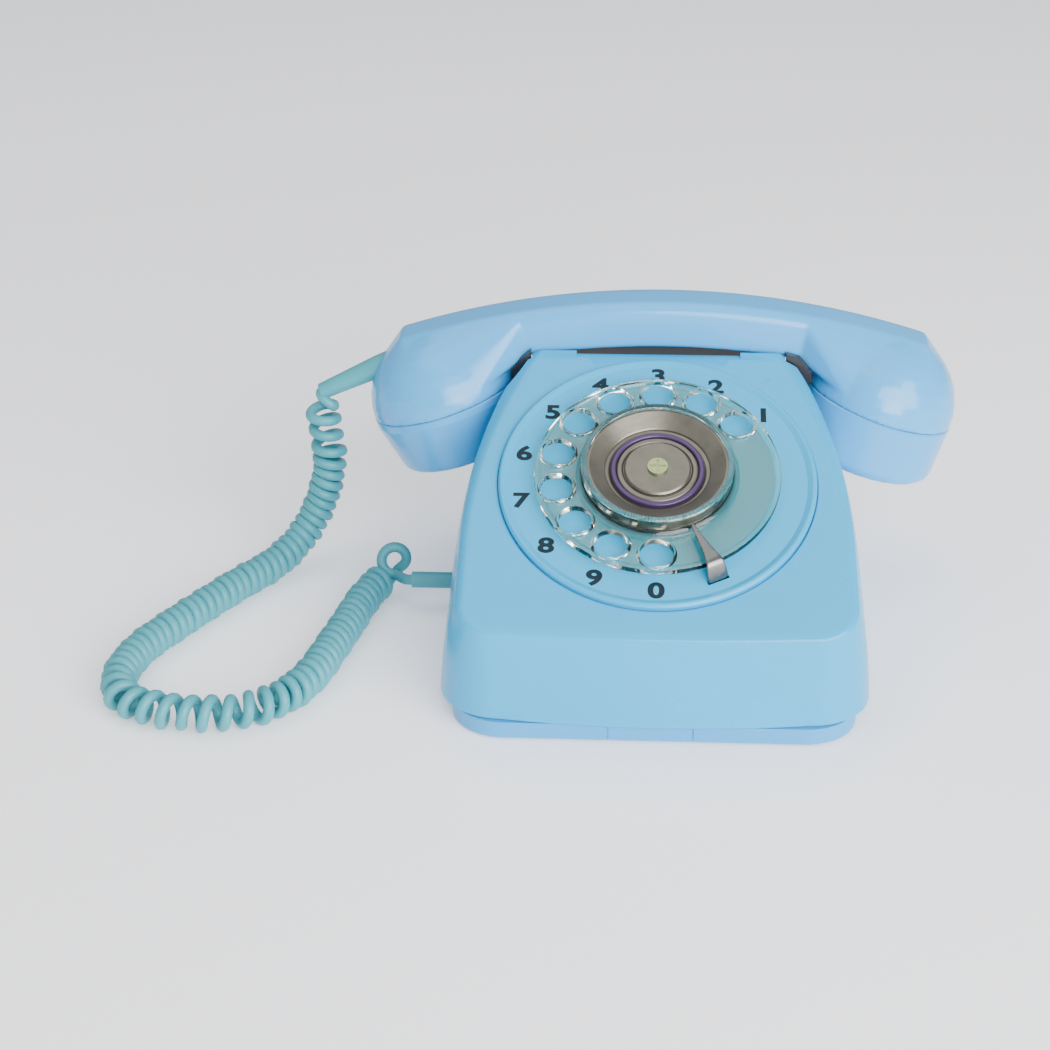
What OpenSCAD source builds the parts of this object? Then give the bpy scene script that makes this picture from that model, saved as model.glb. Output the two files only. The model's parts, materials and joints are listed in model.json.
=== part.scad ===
// Rotary desk telephone: moulded housing, clear-wheel dial, handset and curly cord.
// Origin: on the table, under the middle of the telephone. +X right, +Y to the rear, +Z up.

/* [Housing] */
// Half the width of the housing at its foot
foot_half_width = 80; // [78:0.5:82]
// Distance from the origin to the front and rear of the housing's foot
half_depth = 99; // [98:0.5:100]
// Height of the housing's lower edge above the table
foot_height = 7.5; // [7:0.5:8.5]
// Thickness of the moulded wall
wall = 2.6; // [2.2:0.1:3]
// Slope of the dial face
face_slope = 25; // [24:0.5:26]

/* [Dial] */
// Depth position of the dial's centre
dial_y = -29.8; // [-30.5:0.1:-29]
// Height of the dial's centre on the face
dial_z = 74; // [73.5:0.5:75]
// Radius of the number plate
plate_radius = 60; // [58:0.5:60]
// Outer radius of the clear finger wheel
wheel_radius = 46.4; // [46:0.1:47]
// Radius of a finger hole
finger_hole_radius = 6.2; // [5.8:0.1:6.4]
// Radius of the circle that the finger holes lie on
finger_circle = 38.6; // [38:0.1:39]

/* [Handset] */
// Radius of the two round cups
cup_radius = 31; // [30:0.5:31]
// Distance of each cup from the middle of the handset
cup_offset = 87.8; // [87:0.2:89]
// Lean of the cups, so that the caps face inwards
cup_lean = 18; // [17:0.5:19]
// Radius of the arch along the top of the handle
arch_radius = 336; // [330:1:345]

/* [Cord] */
// Outer diameter of the curly cord's coil
coil_diameter = 14.2; // [13.5:0.1:14.4]
// Diameter of the cord itself
strand_diameter = 4.4; // [4:0.1:4.6]

/* [Hidden] */

$fn = 48;

// Face of the dial: where the sloped face meets height z at depth y
function face_height(y) = dial_z + (y - dial_y) * tan(face_slope);
// A place on the face, from its distance up the slope
function up_face(s) = [dial_y + s * cos(face_slope), dial_z + s * sin(face_slope)];

// Housing outline
face_front = -71.5;
face_back = 66;
face_front_half_width = 71.7;
face_back_half_width = 48.5;
face_taper_start = -30;
face_corner = 13;
foot_corner = 24;
face_bulge = 0.8;
foot_front_bulge = 3.8;
foot_rear_bulge = 2;
foot_taper_start = -72;
foot_taper = 8;
foot_rear_corner = 24;
neck_rear = 74;
neck_rear_height = 96;
neck_corner = 12;
neck_bulge = 2;
front_steps = 4;
corner_steps = 6;
side_steps = 9;
neck_steps = 3;
wall_steps = [0, 0.015, 0.06, 0.15, 0.3, 0.5, 0.75, 1];

function share(i, n) = i / n;
function face_half_width(s) = face_front_half_width
    - (face_front_half_width - face_back_half_width)
    * pow(max(0, s - face_taper_start) / (face_back - face_taper_start), 2);
function foot_half(y) = foot_half_width
    - foot_taper * pow(max(0, y - foot_taper_start) / (half_depth - foot_taper_start), 2);

// Right half of the crest outline, front to rear, drawn in by the wall's thickness
function crest_outline(inset) =
    let (corner_x = face_front_half_width - face_corner,
         corner_s = face_front + face_bulge + face_corner,
         neck_front = up_face(face_back)[0],
         drop = inset / cos(face_slope))
    concat(
        [for (i = [0 : front_steps - 1]) let (t = share(i, front_steps),
            p = up_face(face_front + face_bulge * t * t + inset))
            [corner_x * t, p[0], p[1] - drop]],
        [for (i = [0 : corner_steps]) let (a = 90 * share(i, corner_steps) - 90,
            p = up_face(corner_s + (face_corner - inset) * sin(a)))
            [corner_x + (face_corner - inset) * cos(a), p[0], p[1] - drop]],
        [for (i = [1 : side_steps]) let (s = corner_s + (face_back - corner_s) * share(i, side_steps),
            p = up_face(s))
            [face_half_width(s) - inset, p[0], p[1] - drop]],
        [for (i = [1 : neck_steps]) let (t = share(i, neck_steps), end = neck_rear - neck_corner)
            [face_back_half_width - inset, neck_front + (end - neck_front) * t,
             face_height(neck_front) + (neck_rear_height - face_height(neck_front)) * t - inset]],
        [for (i = [1 : corner_steps]) let (a = 90 * share(i, corner_steps), r = neck_corner - inset)
            [face_back_half_width - neck_corner + r * cos(a), neck_rear - neck_corner + r * sin(a),
             neck_rear_height - inset]],
        [for (i = [1 : front_steps]) let (t = 1 - share(i, front_steps))
            [(face_back_half_width - neck_corner) * t, neck_rear + neck_bulge * (1 - t * t) - inset,
             neck_rear_height - inset]]
    );

// Right half of the foot outline, with the same number of points as the crest
function foot_outline(inset, height) =
    let (corner_x = foot_half_width - foot_corner,
         corner_y = foot_corner + foot_front_bulge - half_depth,
         neck_front = up_face(face_back)[0] + 6,
         rear_x = foot_half(half_depth) - foot_rear_corner,
         rear_y = half_depth - foot_rear_bulge - foot_rear_corner)
    concat(
        [for (i = [0 : front_steps - 1]) let (t = share(i, front_steps))
            [corner_x * t, inset - half_depth + foot_front_bulge * t * t, height]],
        [for (i = [0 : corner_steps]) let (a = 90 * share(i, corner_steps) - 90, r = foot_corner - inset)
            [corner_x + r * cos(a), corner_y + r * sin(a), height]],
        [for (i = [1 : side_steps]) let (y = corner_y + (neck_front - corner_y) * share(i, side_steps))
            [foot_half(y) - inset, y, height]],
        [for (i = [1 : neck_steps]) let (y = neck_front + (rear_y - neck_front) * share(i, neck_steps))
            [foot_half(y) - inset, y, height]],
        [for (i = [1 : corner_steps]) let (a = 90 * share(i, corner_steps), r = foot_rear_corner - inset)
            [rear_x + r * cos(a), rear_y + r * sin(a), height]],
        [for (i = [1 : front_steps]) let (t = 1 - share(i, front_steps))
            [rear_x * t, half_depth - foot_rear_bulge * t * t - inset, height]]
    );

// The wall bulges outwards between the crest and the foot
function bulge(v) = 0.35 * v + 0.65 * sqrt(1 - pow(1 - v, 2));
function between(top, foot, v) = [
    top.x + (foot.x - top.x) * bulge(v),
    top.y + (foot.y - top.y) * bulge(v),
    top.z + (foot.z - top.z) * v
];
// A whole ring from its right half: the left half is the mirror image
function whole_ring(half) = concat(
    half,
    [for (i = [len(half) - 2 : -1 : 1]) [-half[i].x, half[i].y, half[i].z]]
);

// Solid between the crest and the foot, in one closed skin
module body_solid(inset, foot_z) {
    crest = crest_outline(inset);
    foot = foot_outline(inset, foot_z);
    half_count = len(crest);
    count = 2 * half_count - 2;
    rings = len(wall_steps);
    points = [for (v = wall_steps)
        each whole_ring([for (i = [0 : half_count - 1]) between(crest[i], foot[i], v)])];
    sides = [for (k = [0 : rings - 2], j = [0 : count - 1])
        [k * count + j, k * count + (j + 1) % count,
         (k + 1) * count + (j + 1) % count, (k + 1) * count + j]];
    top = [for (i = [0 : half_count - 2])
        i == 0 ? [0, count - 1, 1]
        : i == half_count - 2 ? [i, count - i, half_count - 1]
        : [i, count - i, count - i - 1, i + 1]];
    bottom = [for (j = [0 : count - 1]) (rings - 1) * count + j];
    polyhedron(points, concat(sides, top, [bottom]), convexity = 6);
}

// Cradle channel for the handle, across the housing
trough_front = 30.7;
trough_rear = 59.2;
trough_floor = 89.5;
trough_corner = 4;
module trough(grow) {
    width = trough_rear - trough_front + 2 * grow;
    rotate([90, 0, 90])
        translate([trough_front - grow, trough_floor - grow, -60])
            linear_extrude(120) {
                translate([0, trough_corner]) square([width, 60]);
                translate([trough_corner, 0]) square([width - 2 * trough_corner, 10]);
                translate([trough_corner, trough_corner]) circle(trough_corner);
                translate([width - trough_corner, trough_corner]) circle(trough_corner);
            }
}

// Handset place: the seams of the cups, and the lean of their axes
handset_shift = 1.5;
cup_y = 41;
cup_z = 78;
cap_height = 24.4;
cup_tip = 3;
module at_cup(side) {
    translate([handset_shift + side * cup_offset, cup_y, cup_z])
        rotate([-cup_tip, side * cup_lean, 0])
            children();
}

// Hollow beside the neck, in which a cup hangs, open straight up and to the rear where the cup leaves
hollow_clearance = 2.4;
hollow_lean = 4;
hollow_seam = 12;
module open_cylinder(side, radius, bottom, height) {
    translate([0, 0, bottom]) {
        cylinder(h = height, r = radius, $fn = 64);
        translate([side > 0 ? -radius : -radius - 40, 0, 0]) cube([2 * radius + 40, 80, height]);
    }
}
module cup_hollow(side, grow) {
    radius = cup_radius + hollow_clearance + grow;
    depth = cap_height + hollow_clearance + grow;
    at_cup(side) open_cylinder(side, radius, -depth, depth);
    translate([handset_shift + side * (cup_offset - hollow_lean), cup_y, cup_z])
        open_cylinder(side, radius, -hollow_seam, 90);
}

// Pocket beside the rear corner of the face, in which the cradle's horn rises
horn_inner = 50.6;
horn_front = 27.5;
horn_bottom = 84;
horn_gap = 0.4;
module horn_pocket(side, grow) {
    margin = horn_gap + grow;
    mirror([side < 0 ? 1 : 0, 0, 0])
        translate([horn_inner - margin, horn_front - margin, horn_bottom - margin])
            cube([20, 5 + margin, 40]);
}

module at_dial() {
    translate([0, dial_y, dial_z]) rotate([face_slope, 0, 0]) children();
}

plate_recess = 1.2;
plate_gap = 0.35;
dial_opening = 54.5;
plunger_x = 30;
plunger_y = 45;
plunger_radius = 2.5;
boss_x = 66;
boss_front = -50;
boss_rear = 62;
boss_radius = 4;
boss_bottom = foot_height + 2;
rib_end_front = 77.5;
rib_end_rear = 72;
fit_gap = 0.15;
boot_y = -2;
boot_z = 14;
housing_boot_radius = 3.3;
inlet_x = 24;
inlet_z = 16;
inlet_radius = 5;
notch_half_width = 32.5;
notch_floor = 100.4;

module housing() color("lightskyblue") {
    difference() {
        union() {
            difference() {
                body_solid(0, foot_height);
                difference() {
                    body_solid(wall, foot_height - 1);
                    trough(wall);
                    for (side = [-1, 1]) cup_hollow(side, wall);
                    for (side = [-1, 1]) horn_pocket(side, wall);
                }
            }
            for (side = [-1, 1], y = [boss_front, boss_rear])
                let (rib = (y < 0 ? rib_end_front : rib_end_rear) - boss_x)
                    translate([side * boss_x, y, boss_bottom]) {
                        cylinder(h = 18, r = boss_radius);
                        translate([side < 0 ? -rib : 0, -1, 0]) cube([rib, 2, 14]);
                    }
        }
        trough(0);
        for (side = [-1, 1]) cup_hollow(side, 0);
        for (side = [-1, 1]) horn_pocket(side, 0);
        at_dial() {
            translate([0, 0, -20]) cylinder(h = 40, r = dial_opening, $fn = 96);
            translate([0, 0, -plate_recess]) cylinder(h = 20, r = plate_radius + plate_gap, $fn = 96);
        }
        translate([-notch_half_width, trough_front - 4, notch_floor]) cube([2 * notch_half_width, 8, 10]);
        for (side = [-1, 1])
            translate([side * plunger_x, plunger_y, 80]) cylinder(h = 20, r = plunger_radius + 0.4);
        for (x = [-boss_x, boss_x], y = [boss_front, boss_rear])
            translate([x, y, foot_height]) cylinder(h = 14, r = 1.5);
        translate([-foot_half_width - 5, boot_y, boot_z])
            rotate([0, 90, 0]) cylinder(h = 12, r = housing_boot_radius + fit_gap);
        translate([inlet_x, half_depth - 12, inlet_z])
            rotate([-90, 0, 0]) cylinder(h = 20, r = inlet_radius + fit_gap);
    }
}

// Base tray: a shallow pan, set in from the housing's edge
tray_inset = 5;
tray_bottom = 1;
tray_corner = 20;
module tray_outline(inset) {
    half_width = foot_half_width - tray_inset - inset;
    front = -half_depth + 2.4 + inset;
    rear = half_depth - tray_inset - inset;
    corner = tray_corner - inset;
    union() {
        translate([-half_width + corner, front]) square([2 * (half_width - corner), rear - front]);
        translate([-half_width, front + corner]) square([2 * half_width, rear - front - 2 * corner]);
        for (x = [-1, 1], y = [front + corner, rear - corner])
            translate([x * (half_width - corner), y]) circle(corner, $fn = 64);
    }
}
tray_floor = 2;
tray_top = tray_bottom + tray_floor;
foot_x = 50;
foot_y = 72;
foot_pad_radius = 7;
tray_seams = [-17, 14];
tray_seam_depth = 0.5;
module base_tray() color("skyblue") {
    difference() {
        translate([0, 0, tray_bottom]) linear_extrude(foot_height - tray_bottom - fit_gap) tray_outline(0);
        for (x = tray_seams)
            translate([x, -half_depth, 0]) cube([0.6, 2.4 + tray_seam_depth, 20]);
        translate([0, 0, tray_top]) linear_extrude(10) tray_outline(wall);
        for (x = [-boss_x, boss_x], y = [boss_front, boss_rear])
            translate([x, y, 0]) cylinder(h = 5, r = 2);
        for (x = [-foot_x, foot_x], y = [-foot_y, foot_y])
            translate([x, y, 0]) cylinder(h = 2, r = foot_pad_radius);
    }
    difference() {
        for (x = [-boss_x, boss_x], y = [boss_front, boss_rear])
            translate([x, y, tray_top]) cylinder(h = boss_bottom - tray_top - fit_gap, r = boss_radius);
        for (x = [-boss_x, boss_x], y = [boss_front, boss_rear])
            translate([x, y, 0]) cylinder(h = 12, r = 2);
    }
}

module rubber_feet() color("dimgray") {
    for (x = [-foot_x, foot_x], y = [-foot_y, foot_y])
        translate([x, y, 0]) cylinder(h = 2, r = foot_pad_radius);
}

module tray_screws() color("silver") {
    for (x = [-boss_x, boss_x], y = [boss_front, boss_rear])
        translate([x, y, 0]) {
            translate([0, 0, 0.2]) cylinder(h = 0.8, r = 3.4);
            translate([0, 0, 1]) cylinder(h = 18, r = 1.5);
        }
}

// Dial: everything below is placed on the sloped face, with +Z out of it
deck_height = 1.2;
rim_height = 2.2;
stop_angle = 154.3;
stop_radius = 51;
stop_width = 8.6;
stop_leg = 1.6;
module number_plate() color("lightskyblue") {
    at_dial() difference() {
        rotate_extrude($fn = 120) polygon([
            [9, -plate_recess], [plate_radius, -plate_recess], [plate_radius, rim_height - 0.8],
            [plate_radius - 0.8, rim_height], [plate_radius - 1.6, rim_height],
            [plate_radius - 3.6, deck_height], [9, deck_height]
        ]);
        rotate([0, 0, -stop_angle]) translate([-stop_width / 2, stop_radius, -3])
            cube([stop_width, stop_leg, 6]);
    }
}

stop_bend = 48.7;
stop_tip = 29.6;
stop_height = 7.6;
stop_thickness = 1.4;
module finger_stop() color("silver") {
    at_dial() rotate([0, 0, -stop_angle]) {
        rotate([90, 0, 90]) translate([0, 0, -stop_width / 2]) linear_extrude(stop_width) polygon([
            [stop_radius, chassis_top], [stop_radius + stop_leg, chassis_top], [stop_radius + stop_leg, 2],
            [stop_bend + stop_leg, stop_height + stop_thickness], [stop_bend, stop_height + stop_thickness],
            [stop_bend, stop_height], [stop_radius, 2]
        ]);
        translate([0, 0, stop_height]) linear_extrude(stop_thickness) polygon([
            [-4, stop_bend + 0.5], [4, stop_bend + 0.5], [3.1, 46], [2.2, 41], [1.5, 36], [0.9, stop_tip],
            [-0.9, stop_tip], [-1.5, 36], [-2.2, 41], [-3.1, 46]
        ]);
    }
}

web_bottom = 3.2;
web_top = 5;
collar_top = 11.7;
collar_radius = 28.6;
dish_radius = 26.4;
hole_lip = 0.9;
shaft_radius = 4;
first_hole = 51.43;
hole_step = 360 / 14;
module at_finger_holes() {
    for (i = [0 : 9])
        rotate([0, 0, -(first_hole - hole_step * i)]) translate([0, finger_circle, 0]) children();
}
module finger_wheel() color("honeydew", 0.5) {
    at_dial() difference() {
        union() {
            rotate_extrude($fn = 120) polygon([
                [shaft_radius, web_bottom], [wheel_radius - 0.5, web_bottom - 0.2],
                [wheel_radius, web_bottom + 0.3],
                [wheel_radius, web_top + 0.3], [wheel_radius - 0.5, web_top + 0.8],
                [wheel_radius - 1.2, web_top + 0.6], [wheel_radius - 1.8, web_top],
                [collar_radius + 1, web_top], [collar_radius, web_top + 1],
                [collar_radius, collar_top - 0.6],
                [collar_radius - 0.6, collar_top], [dish_radius + 0.6, collar_top],
                [dish_radius, collar_top - 0.6], [dish_radius, web_top], [shaft_radius, web_top]
            ]);
            at_finger_holes() translate([0, 0, web_bottom])
                cylinder(h = 2.8, r = finger_hole_radius + hole_lip);
        }
        at_finger_holes() cylinder(h = 12, r = finger_hole_radius);
    }
}

dish_inner = 19.6;
module centre_dish() color("dimgray") {
    at_dial() rotate_extrude($fn = 96) polygon([
        [dish_inner, web_top], [dish_radius, web_top], [dish_radius, collar_top - 1.2],
        [dish_radius - 0.8, collar_top - 1.2], [dish_inner + 0.4, 7.2], [dish_inner, 6.8]
    ]);
}
cap_radius = 12.6;
module centre_ring() color("rebeccapurple") {
    at_dial() rotate_extrude($fn = 96) polygon([
        [cap_radius, web_top], [dish_inner, web_top], [dish_inner, 6], [17, 6], [16.6, 7.2],
        [14.4, 7.2], [14, 6], [cap_radius, 6]
    ]);
}
module centre_cap() color("dimgray") {
    at_dial() rotate_extrude($fn = 96) polygon([
        [1.6, web_top], [cap_radius, web_top], [cap_radius, 7.2], [cap_radius - 0.6, 7.8], [1.6, 8]
    ]);
}
module centre_screw() color("darkkhaki") {
    at_dial() difference() {
        union() {
            translate([0, 0, 1]) cylinder(h = 7, r = 1.6);
            translate([0, 0, 8]) cylinder(h = 1, r = 3.8);
        }
        for (turn = [0, 90])
            rotate([0, 0, turn]) translate([-3, -0.45, 8.4]) cube([6, 0.9, 2]);
    }
}

shaft_bottom = -21;
module dial_shaft() color("silver") {
    at_dial() difference() {
        translate([0, 0, shaft_bottom]) cylinder(h = web_top - shaft_bottom, r = shaft_radius);
        translate([0, 0, 1]) cylinder(h = 10, r = 1.6);
    }
}

// A spur gear blank with square teeth
module gear(teeth, tip, depth, thickness) {
    difference() {
        cylinder(h = thickness, r = tip, $fn = 96);
        for (i = [0 : teeth - 1])
            rotate([0, 0, 360 * i / teeth]) translate([tip - depth, -tip * 1.6 / teeth, -1])
                cube([depth + 1, tip * 3.2 / teeth, thickness + 2]);
    }
}
gear_height = -17;
main_teeth = 36;
main_tip = 24;
module main_gear() color("goldenrod") {
    at_dial() difference() {
        translate([0, 0, gear_height]) gear(main_teeth, main_tip, 1.6, 1.8);
        translate([0, 0, gear_height - 1]) cylinder(h = 4, r = shaft_radius);
    }
}

// Intermediate shaft: pinion, pulse cam, and the wheel that drives the governor
pinion_teeth = 9;
pinion_tip = 6;
pinion_x = main_tip + pinion_tip + 0.3;
module intermediate_gear() color("goldenrod") {
    at_dial() translate([pinion_x, 0, 0]) {
        translate([0, 0, shaft_bottom]) cylinder(h = 13, r = 1.5);
        difference() {
            translate([0, 0, gear_height]) gear(pinion_teeth, pinion_tip, 1.2, 1.8);
            translate([0, 0, gear_height - 1]) cylinder(h = 4, r = 1.5);
        }
    }
}
module pulse_cam() color("ivory") {
    at_dial() translate([pinion_x, 0, gear_height + 2.3]) difference() {
        cylinder(h = 2.4, r = 5);
        translate([0, 0, -1]) cylinder(h = 5, r = 1.5);
        for (turn = [0, 120, 240]) rotate([0, 0, turn]) translate([4, -1, -1]) cube([3, 2, 5]);
    }
}
governor_y = -34;
governor_z = -15;
module governor_shaft() color("silver") {
    at_dial() translate([4, governor_y, governor_z]) rotate([0, 90, 0]) cylinder(h = 30, r = 1.2);
}
module governor_weights() color("goldenrod") {
    at_dial() translate([8, governor_y, governor_z]) rotate([0, 90, 0]) difference() {
        union() {
            cylinder(h = 6, r = 2.6);
            for (side = [-1, 1]) translate([side * 3.4 - 1, -2.2, 0.5]) cube([2, 4.4, 5]);
        }
        translate([0, 0, -1]) cylinder(h = 8, r = 1.2);
    }
}

chassis_top = -7;
chassis_thickness = 2;
chassis_radius = 42;
module dial_chassis() color("gray") {
    at_dial() difference() {
        union() {
            translate([0, 0, chassis_top - chassis_thickness])
                cylinder(h = chassis_thickness, r = chassis_radius, $fn = 96);
            for (turn = [0, 120, 240]) rotate([0, 0, turn]) translate([0, 36, chassis_top - 1])
                cylinder(h = 1 - plate_recess - chassis_top, r = 3);
            translate([-7, 30, -25]) cube([14, 4, 25 + chassis_top]);
            rotate([0, 0, -stop_angle]) translate([-6, 38, chassis_top - chassis_thickness])
                cube([12, 16, chassis_thickness]);
        }
        translate([0, 0, -30]) cylinder(h = 40, r = 7);
        translate([pinion_x, 0, -30]) cylinder(h = 40, r = 1.6);
    }
}
module dial_bearing() color("darkgoldenrod") {
    at_dial() difference() {
        translate([0, 0, -12]) cylinder(h = 11, r = 7);
        translate([0, 0, -30]) cylinder(h = 40, r = shaft_radius + 0.05);
    }
}
module dial_return_spring() color("silver") {
    at_dial() difference() {
        translate([0, 0, -1]) cylinder(h = 2, r = 8.8);
        translate([0, 0, -2]) cylinder(h = 5, r = shaft_radius + 0.4);
    }
}
module pulse_contacts() color("darkkhaki") {
    at_dial() translate([pinion_x + 5.6, -8, 0]) {
        for (i = [0 : 2]) translate([i * 1.2, 0, gear_height + 2.3]) cube([0.5, 18, 2.4]);
        translate([-0.4, -4, gear_height + 1.3]) cube([4.2, 4, 6.6]);
    }
}

// Ringer: two gongs, a double coil and a swinging clapper
gong_x = 29;
gong_y = 34;
gong_radius = 23.5;
gong_z = 14;
module gong(side) {
    translate([side * gong_x, gong_y, gong_z]) rotate_extrude($fn = 72) polygon([
        [2.2, 11], [8, 11], [16, 9], [21, 5], [gong_radius, 0], [gong_radius - 1.6, 0],
        [19.6, 4.4], [15.4, 7.6], [8, 9.6], [2.2, 9.6]
    ]);
}
module gong_left() color("goldenrod") gong(-1);
module gong_right() color("goldenrod") gong(1);
module gong_screws() color("silver") {
    for (side = [-1, 1]) translate([side * gong_x, gong_y, gong_z]) {
        translate([0, 0, 11]) cylinder(h = 2, r = 4);
        translate([0, 0, -3]) cylinder(h = 14, r = 2.2);
    }
}
clapper_y = 62;
clapper_z = 18;
module ringer_chassis() color("gray") {
    difference() {
        union() {
            translate([-36, 28, tray_top]) cube([72, 44, 2]);
            for (side = [-1, 1]) translate([side * gong_x, gong_y, tray_top + 2])
                cylinder(h = gong_z + 9.6 - tray_top - 2, r = 4);
            translate([0, clapper_y, tray_top + 2]) cylinder(h = 9, r = 3);
            translate([-24, 78, tray_top]) cube([48, 2, 20]);
            translate([-24, 70, tray_top]) cube([48, 10, 2]);
        }
        for (side = [-1, 1]) translate([side * gong_x, gong_y, gong_z - 3]) cylinder(h = 16, r = 2.2);
        translate([0, clapper_y, tray_top]) cylinder(h = 20, r = 1.2);
    }
}
module ringer_coils() color("sienna") {
    for (side = [-1, 1]) translate([side * 9, 69, 15]) rotate([-90, 0, 0]) cylinder(h = 9, r = 6.5);
}
module clapper_arm() color("gray") {
    translate([-16, clapper_y - 2, clapper_z - 2]) cube([32, 4, 4]);
    translate([-0.8, gong_y + 2.8, clapper_z - 1.6]) cube([1.6, clapper_y - gong_y - 3, 3.2]);
    translate([0, clapper_y, clapper_z - 10]) cylinder(h = 12, r = 1.15);
}
module clapper_ball() color("darkgoldenrod") {
    translate([0, gong_y, clapper_z - 1]) difference() {
        sphere(3);
        translate([-5, 2.8, -5]) cube(10);
    }
}

// Cradle hook: yoke outside, plungers through the trough, lever and contacts inside
horn_back = 31.4;
yoke_bottom = 91;
yoke_top = 94.4;
saddle_top = 97.2;
ledge_bottom = 92.6;
// Outline of a horn beside the rear corner of the face: the left one is smaller, to clear the cup
function horn_outline(side) = side < 0
    ? [[56.3, horn_bottom], [57.7, 88], [58.4, 90], [58.4, 92.4], [57.1, 95.8], [54.2, 99.3]]
    : [[58.9, horn_bottom], [60.4, 88], [61.2, 91.5], [60.6, 94.5], [59.1, 97.4], [56, 100.6]];
module hook_yoke() color("black") {
    difference() {
        union() {
            translate([-48, 35, yoke_bottom]) cube([96, 20, yoke_top - yoke_bottom]);
            for (side = [-1, 1]) mirror([side < 0 ? 1 : 0, 0, 0]) {
                translate([42, 36, yoke_top]) cube([6, 18, saddle_top - yoke_top]);
                translate([46, horn_back - 0.2, ledge_bottom]) cube([9, 6, yoke_top - ledge_bottom]);
                translate([0, horn_back, 0]) rotate([90, 0, 0]) linear_extrude(horn_back - horn_front - 1)
                    polygon(concat([[horn_inner, horn_bottom]], horn_outline(side), [[horn_inner, 102.2]]));
            }
        }
        for (side = [-1, 1])
            translate([side * plunger_x, plunger_y, 80]) cylinder(h = 30, r = plunger_radius - 0.8);
    }
}
module hook_plungers() color("black") {
    for (side = [-1, 1]) translate([side * plunger_x, plunger_y, 0]) {
        translate([0, 0, 66]) cylinder(h = yoke_bottom - 66, r = plunger_radius);
        translate([0, 0, yoke_bottom]) cylinder(h = yoke_top - yoke_bottom, r = plunger_radius - 0.8);
    }
}
lever_y = 70;
lever_z = 60;
lever_arm_x = 12;
pivot_radius = 1.5;
module hook_lever() color("silver") {
    difference() {
        union() {
            translate([-34, plunger_y - 3, 62]) cube([68, 6, 3.6]);
            translate([-lever_arm_x, 55, lever_z - 3]) cube([2 * lever_arm_x, 6, 2]);
            for (side = [-1, 1]) translate([side * lever_arm_x - 1, plunger_y, lever_z - 3])
                cube([2, lever_y - plunger_y + 3, 6]);
        }
        translate([-20, lever_y, lever_z]) rotate([0, 90, 0]) cylinder(h = 40, r = pivot_radius + 0.05);
    }
}
bracket_x = 18;
bracket_foot = 5;
module hook_bracket() color("gray") {
    translate([-bracket_x, lever_y, lever_z]) rotate([0, 90, 0])
        cylinder(h = 2 * bracket_x, r = pivot_radius);
    for (side = [-1, 1]) translate([side * bracket_x - 1, lever_y - 4, bracket_foot])
        cube([2, 8, lever_z - 1]);
    translate([-bracket_x, lever_y + 2, 24]) cube([2 * bracket_x, 2, 12]);
}
module hook_contacts() color("darkkhaki") {
    for (i = [0 : 3]) translate([-6 + i * 3.4, lever_y + 4, 30]) cube([2, 1, 18]);
    translate([-9, lever_y + 4, 24]) cube([16, 5, 6]);
}
module hook_return_spring() color("silver") {
    translate([0, 58, 36]) difference() {
        cylinder(h = 20.5, r = 3);
        translate([0, 0, -1]) cylinder(h = 30, r = 2.2);
    }
    translate([-4, 54, 34]) cube([8, 18, 2]);
}

// Electrical parts on the tray
module circuit_board() color("seagreen") {
    difference() {
        translate([-42, -84, 10]) cube([84, 62, 1.6]);
        for (x = [-38, 38], y = [-80, -26]) translate([x, y, 5]) cylinder(h = 10, r = 1.6);
    }
    for (x = [-38, 38], y = [-80, -26]) translate([x, y, tray_top]) cylinder(h = 10, r = 1.6);
}
module speech_transformer() color("saddlebrown") {
    translate([-30, -66, 11.6]) cube([24, 20, 16]);
    translate([-26, -68, 13]) cube([16, 24, 12]);
}
module ringer_capacitor() color("orange") {
    translate([4, -40, 19.6]) rotate([0, 90, 0]) cylinder(h = 28, r = 8);
}
module terminal_block() color("ivory") {
    difference() {
        translate([0, -76, 11.6]) cube([34, 12, 8]);
        for (i = [0 : 4]) translate([4 + i * 6.5, -70, 15]) cylinder(h = 6, r = 2);
    }
}

// Cord inlets
module line_inlet() color("dimgray") {
    translate([inlet_x, half_depth - 14, inlet_z]) rotate([-90, 0, 0]) difference() {
        union() {
            cylinder(h = 12.4, r = inlet_radius);
            cylinder(h = 2, r = inlet_radius + 2);
        }
        translate([0, 0, 3]) cylinder(h = 20, r = 2.6);
    }
}
boot_tip_x = -98;
boot_length = 25.2;
module housing_cord_boot() color("cadetblue") {
    translate([boot_tip_x, boot_y, boot_z]) rotate([0, 90, 0]) {
        cylinder(h = boot_length, r = housing_boot_radius);
        translate([0, 0, boot_length - 1.5]) cylinder(h = 1.5, r = housing_boot_radius + 1.5);
    }
}

// Handset: arched handle with a leaning cup at each end
handle_front = 31.8;
handle_depth = 24.6;
handle_thickness = 20.5;
handle_top = 122;
handle_angle = 36.6;
handle_edge = 2.5;
handle_section = [
    [0, handle_edge], [handle_edge, 0], [handle_depth - handle_edge, 0], [handle_depth, handle_edge],
    [handle_depth, handle_thickness - 2 * handle_edge], [handle_depth - 3 * handle_edge, handle_thickness],
    [handle_edge, handle_thickness - 1.6], [0, handle_thickness - 1.6 - handle_edge]
];
module handle_arch() {
    inner = arch_radius - handle_thickness;
    translate([handset_shift, handle_front + handle_depth, handle_top - arch_radius])
        rotate([90, -90 - handle_angle / 2, 0])
            mirror([0, 1, 0]) rotate_extrude(angle = handle_angle, $fn = 240)
                polygon([for (p = handle_section) [inner + p[1], p[0]]]);
}
cup_wall = 3;
module cup_dome(side, radius) {
    at_cup(side) intersection() {
        sphere(radius, $fn = 96);
        translate([-50, -50, 0]) cube([100, 100, 60]);
    }
}
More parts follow.
